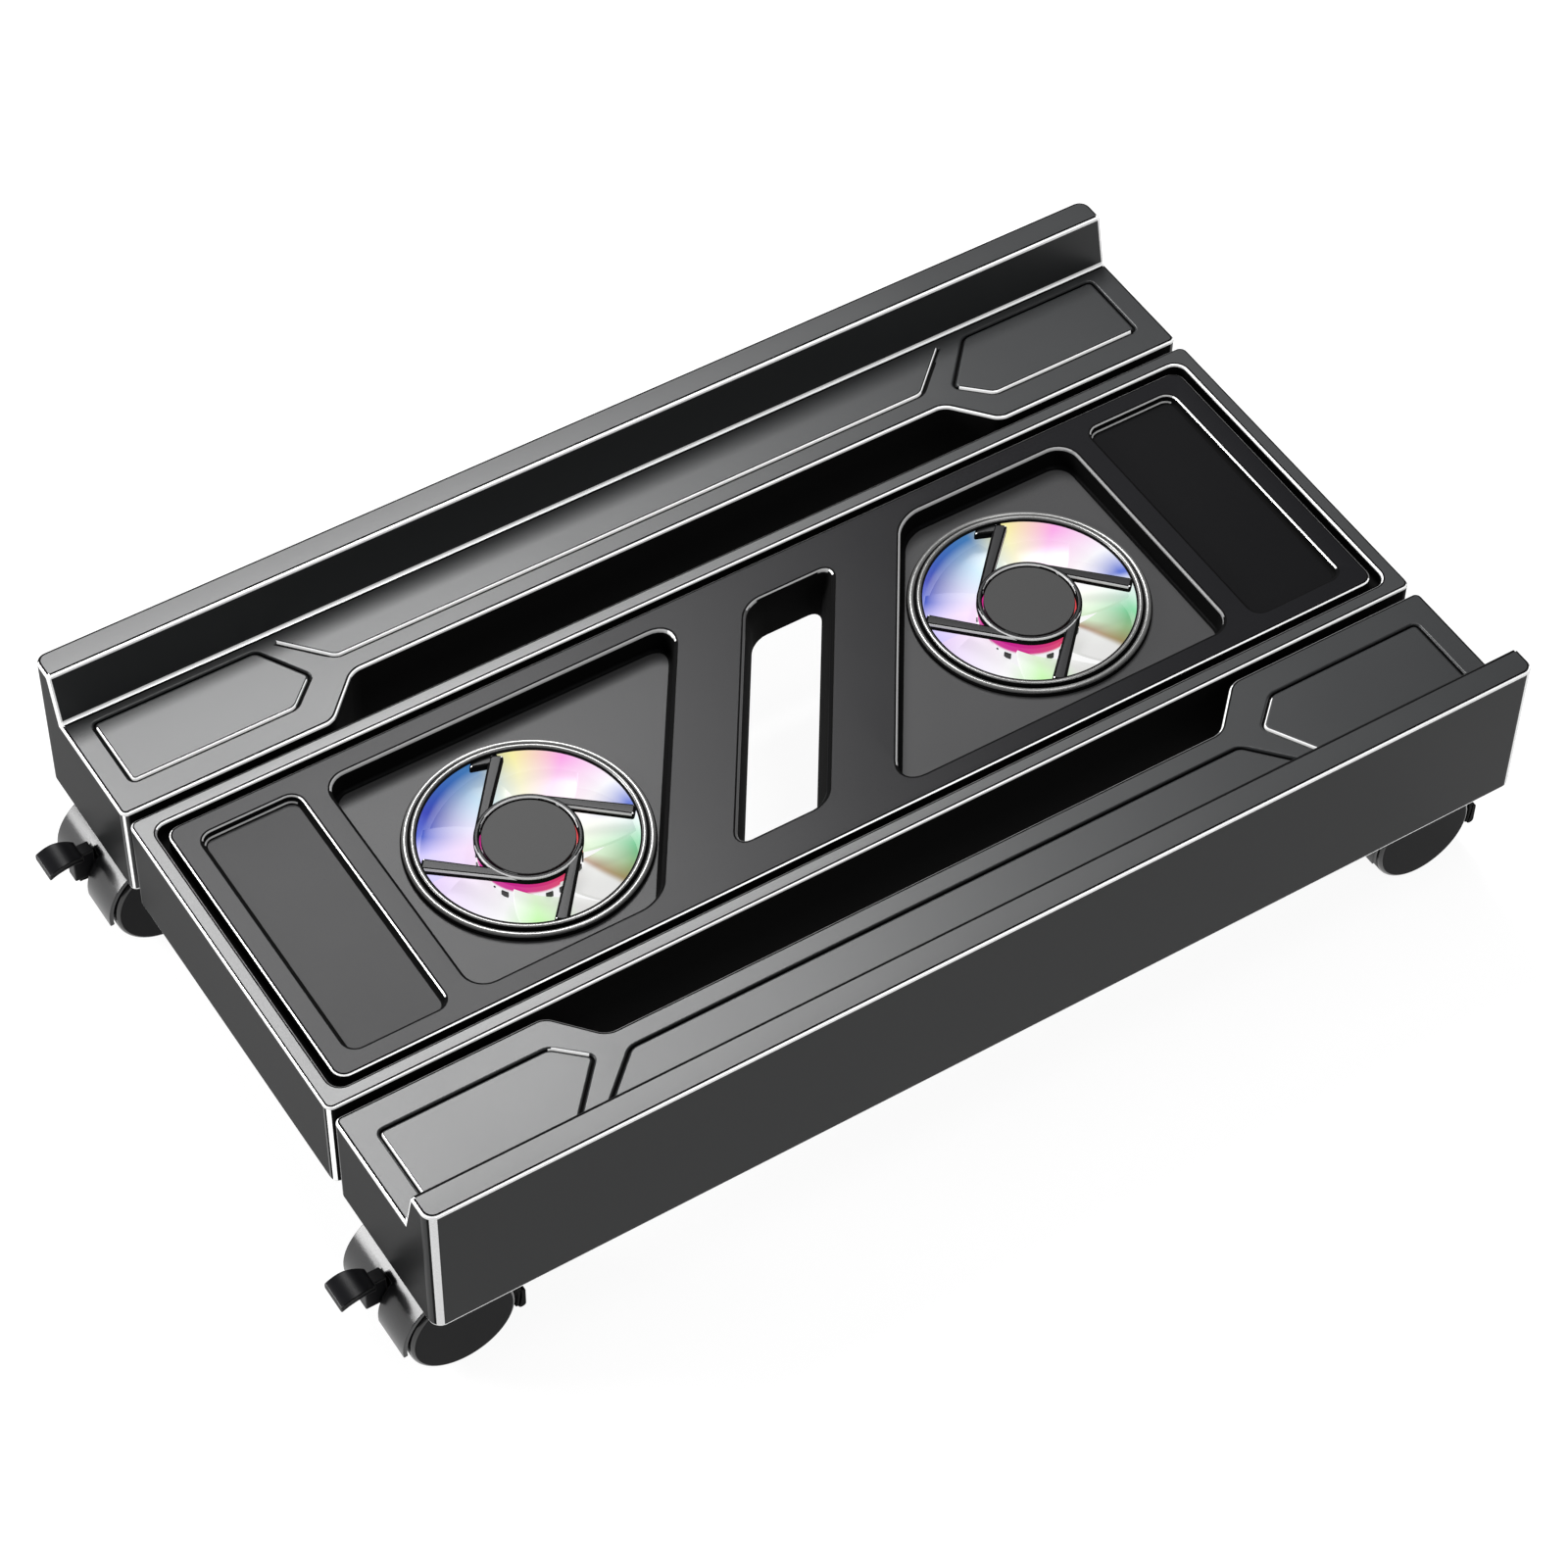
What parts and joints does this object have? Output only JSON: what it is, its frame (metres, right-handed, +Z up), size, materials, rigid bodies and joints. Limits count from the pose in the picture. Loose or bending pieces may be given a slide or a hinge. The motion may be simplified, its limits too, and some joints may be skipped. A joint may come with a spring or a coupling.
{
  "type": "computer tower stand",
  "caption": "Rolling stand for a computer tower: fan deck with a slanted slot between sliding lipped rails on twin-wheel casters with brake pedals.",
  "frame": {"origin": "centre of the footprint, on the floor", "axes": "+X along the deck's length, away from the brake pedals; +Z up"},
  "size_m": [0.4618, 0.276, 0.1064],
  "materials": {
    "gunmetal": "satin metallic moulded plastic",
    "panel": "satin dark moulded plastic",
    "nylon": "black moulded nylon",
    "gloss": "glossy black nylon",
    "wheel": "dark hard wheel plastic",
    "clear": "clear iridescent acrylic",
    "steel": "zinc plated",
    "bronze": "sintered bronze",
    "ferrite": "dull bonded ferrite",
    "winding": "enamelled copper winding",
    "board": "green circuit board"
  },
  "bodies": {
    "deck": {"deck_frame": "gunmetal", "deck_panel": "panel", "power_inlet": "nylon", "panel_screw_1": "steel", "panel_screw_2": "steel", "panel_screw_3": "steel", "panel_screw_4": "steel", "fan_housing_a": "gunmetal", "fan_bearing_a": "bronze", "fan_board_a": "board", "fan_stator_a": "winding", "fan_housing_b": "gunmetal", "fan_bearing_b": "bronze", "fan_board_b": "board", "fan_stator_b": "winding"},
    "rail_front": {"rail_front": "gunmetal", "slide_tongue_front_a": "nylon", "tongue_screw_front_a": "steel", "caster_socket_front_a": "nylon", "slide_tongue_front_b": "nylon", "tongue_screw_front_b": "steel", "caster_socket_front_b": "nylon"},
    "caster_front_a": {"caster_hood_front_a": "gloss", "caster_stem_front_a": "steel", "caster_axle_front_a": "steel"},
    "wheel_front_a_left": {"caster_wheel_front_a_left": "wheel"},
    "wheel_front_a_right": {"caster_wheel_front_a_right": "wheel"},
    "brake_front_a": {"brake_lever_front_a": "gloss"},
    "caster_front_b": {"caster_hood_front_b": "gloss", "caster_stem_front_b": "steel", "caster_axle_front_b": "steel"},
    "wheel_front_b_left": {"caster_wheel_front_b_left": "wheel"},
    "wheel_front_b_right": {"caster_wheel_front_b_right": "wheel"},
    "rail_back": {"rail_back": "gunmetal", "slide_tongue_back_a": "nylon", "tongue_screw_back_a": "steel", "caster_socket_back_a": "nylon", "slide_tongue_back_b": "nylon", "tongue_screw_back_b": "steel", "caster_socket_back_b": "nylon"},
    "caster_back_a": {"caster_hood_back_a": "gloss", "caster_stem_back_a": "steel", "caster_axle_back_a": "steel"},
    "wheel_back_a_left": {"caster_wheel_back_a_left": "wheel"},
    "wheel_back_a_right": {"caster_wheel_back_a_right": "wheel"},
    "brake_back_a": {"brake_lever_back_a": "gloss"},
    "caster_back_b": {"caster_hood_back_b": "gloss", "caster_stem_back_b": "steel", "caster_axle_back_b": "steel"},
    "wheel_back_b_left": {"caster_wheel_back_b_left": "wheel"},
    "wheel_back_b_right": {"caster_wheel_back_b_right": "wheel"},
    "fan_rotor_a": {"fan_impeller_a": "clear", "fan_shaft_a": "steel", "fan_magnet_a": "ferrite"},
    "fan_rotor_b": {"fan_impeller_b": "clear", "fan_shaft_b": "steel", "fan_magnet_b": "ferrite"}
  },
  "joints": [
    {"name": "rail_front_slide", "type": "slide", "parent": "deck", "child": "rail_front", "axis": [0, -1, 0], "range_m": [0, 0.045]},
    {"name": "caster_front_a_swivel", "type": "hinge", "parent": "rail_front", "child": "caster_front_a", "pos_m": [-0.18892, -0.1055, 0.0425], "axis": [0, 0, 1], "continuous": true},
    {"name": "wheel_front_a_left_spin", "type": "hinge", "parent": "caster_front_a", "child": "wheel_front_a_left", "pos_m": [-0.19442, -0.1055, 0.02], "axis": [0, 1, 0], "continuous": true},
    {"name": "wheel_front_a_right_spin", "type": "hinge", "parent": "caster_front_a", "child": "wheel_front_a_right", "pos_m": [-0.19442, -0.1055, 0.02], "axis": [0, 1, 0], "continuous": true},
    {"name": "brake_front_a_press", "type": "hinge", "parent": "caster_front_a", "child": "brake_front_a", "pos_m": [-0.20488, -0.1055, 0.0334], "axis": [0, -1, 0], "range_deg": [0, 14]},
    {"name": "caster_front_b_swivel", "type": "hinge", "parent": "rail_front", "child": "caster_front_b", "pos_m": [0.20808, -0.1055, 0.0425], "axis": [0, 0, 1], "continuous": true},
    {"name": "wheel_front_b_left_spin", "type": "hinge", "parent": "caster_front_b", "child": "wheel_front_b_left", "pos_m": [0.20258, -0.1055, 0.02], "axis": [0, 1, 0], "continuous": true},
    {"name": "wheel_front_b_right_spin", "type": "hinge", "parent": "caster_front_b", "child": "wheel_front_b_right", "pos_m": [0.20258, -0.1055, 0.02], "axis": [0, 1, 0], "continuous": true},
    {"name": "rail_back_slide", "type": "slide", "parent": "deck", "child": "rail_back", "axis": [0, 1, 0], "range_m": [0, 0.045]},
    {"name": "caster_back_a_swivel", "type": "hinge", "parent": "rail_back", "child": "caster_back_a", "pos_m": [-0.18892, 0.1055, 0.0425], "axis": [0, 0, 1], "continuous": true},
    {"name": "wheel_back_a_left_spin", "type": "hinge", "parent": "caster_back_a", "child": "wheel_back_a_left", "pos_m": [-0.19442, 0.1055, 0.02], "axis": [0, 1, 0], "continuous": true},
    {"name": "wheel_back_a_right_spin", "type": "hinge", "parent": "caster_back_a", "child": "wheel_back_a_right", "pos_m": [-0.19442, 0.1055, 0.02], "axis": [0, 1, 0], "continuous": true},
    {"name": "brake_back_a_press", "type": "hinge", "parent": "caster_back_a", "child": "brake_back_a", "pos_m": [-0.20488, 0.1055, 0.0334], "axis": [0, -1, 0], "range_deg": [0, 14]},
    {"name": "caster_back_b_swivel", "type": "hinge", "parent": "rail_back", "child": "caster_back_b", "pos_m": [0.20808, 0.1055, 0.0425], "axis": [0, 0, 1], "continuous": true},
    {"name": "wheel_back_b_left_spin", "type": "hinge", "parent": "caster_back_b", "child": "wheel_back_b_left", "pos_m": [0.20258, 0.1055, 0.02], "axis": [0, 1, 0], "continuous": true},
    {"name": "wheel_back_b_right_spin", "type": "hinge", "parent": "caster_back_b", "child": "wheel_back_b_right", "pos_m": [0.20258, 0.1055, 0.02], "axis": [0, 1, 0], "continuous": true},
    {"name": "fan_a_spin", "type": "hinge", "parent": "deck", "child": "fan_rotor_a", "pos_m": [-0.09402, 0, 0.066], "axis": [0, 0, 1], "continuous": true},
    {"name": "fan_b_spin", "type": "hinge", "parent": "deck", "child": "fan_rotor_b", "pos_m": [0.11318, 0, 0.066], "axis": [0, 0, 1], "continuous": true}
  ]
}
